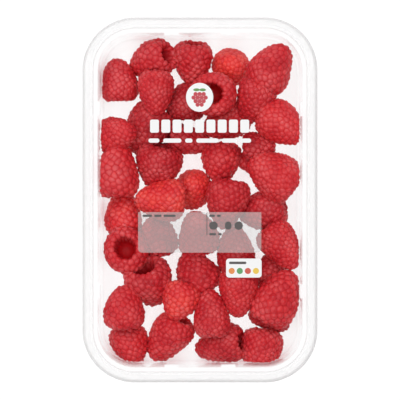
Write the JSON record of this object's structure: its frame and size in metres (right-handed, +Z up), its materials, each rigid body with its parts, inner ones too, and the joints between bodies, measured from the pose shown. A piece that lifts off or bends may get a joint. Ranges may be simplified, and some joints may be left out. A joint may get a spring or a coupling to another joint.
{
  "type": "punnet of raspberries",
  "caption": "Shallow rounded clear plastic tray holding a loose heap of raspberries, sealed with a clear printed film across its rim.",
  "frame": {"origin": "under the middle of the tray, on the surface that it stands on", "axes": "+Z up out of the sealed film, +Y along the tray's long side towards the end that is up in the print, +X across it to the right"},
  "size_m": [0.1224, 0.19, 0.036],
  "materials": {
    "tray_plastic": "clear, slightly milky formed plastic sheet with a glossy face",
    "raspberry": "soft red fruit with a fine bloom",
    "clear_film": "clear glossy lidding film with plain printed fields"
  },
  "bodies": {
    "root": {"tray": "tray_plastic", "raspberries": "raspberry", "lid_film": "clear_film"}
  },
  "joints": []
}
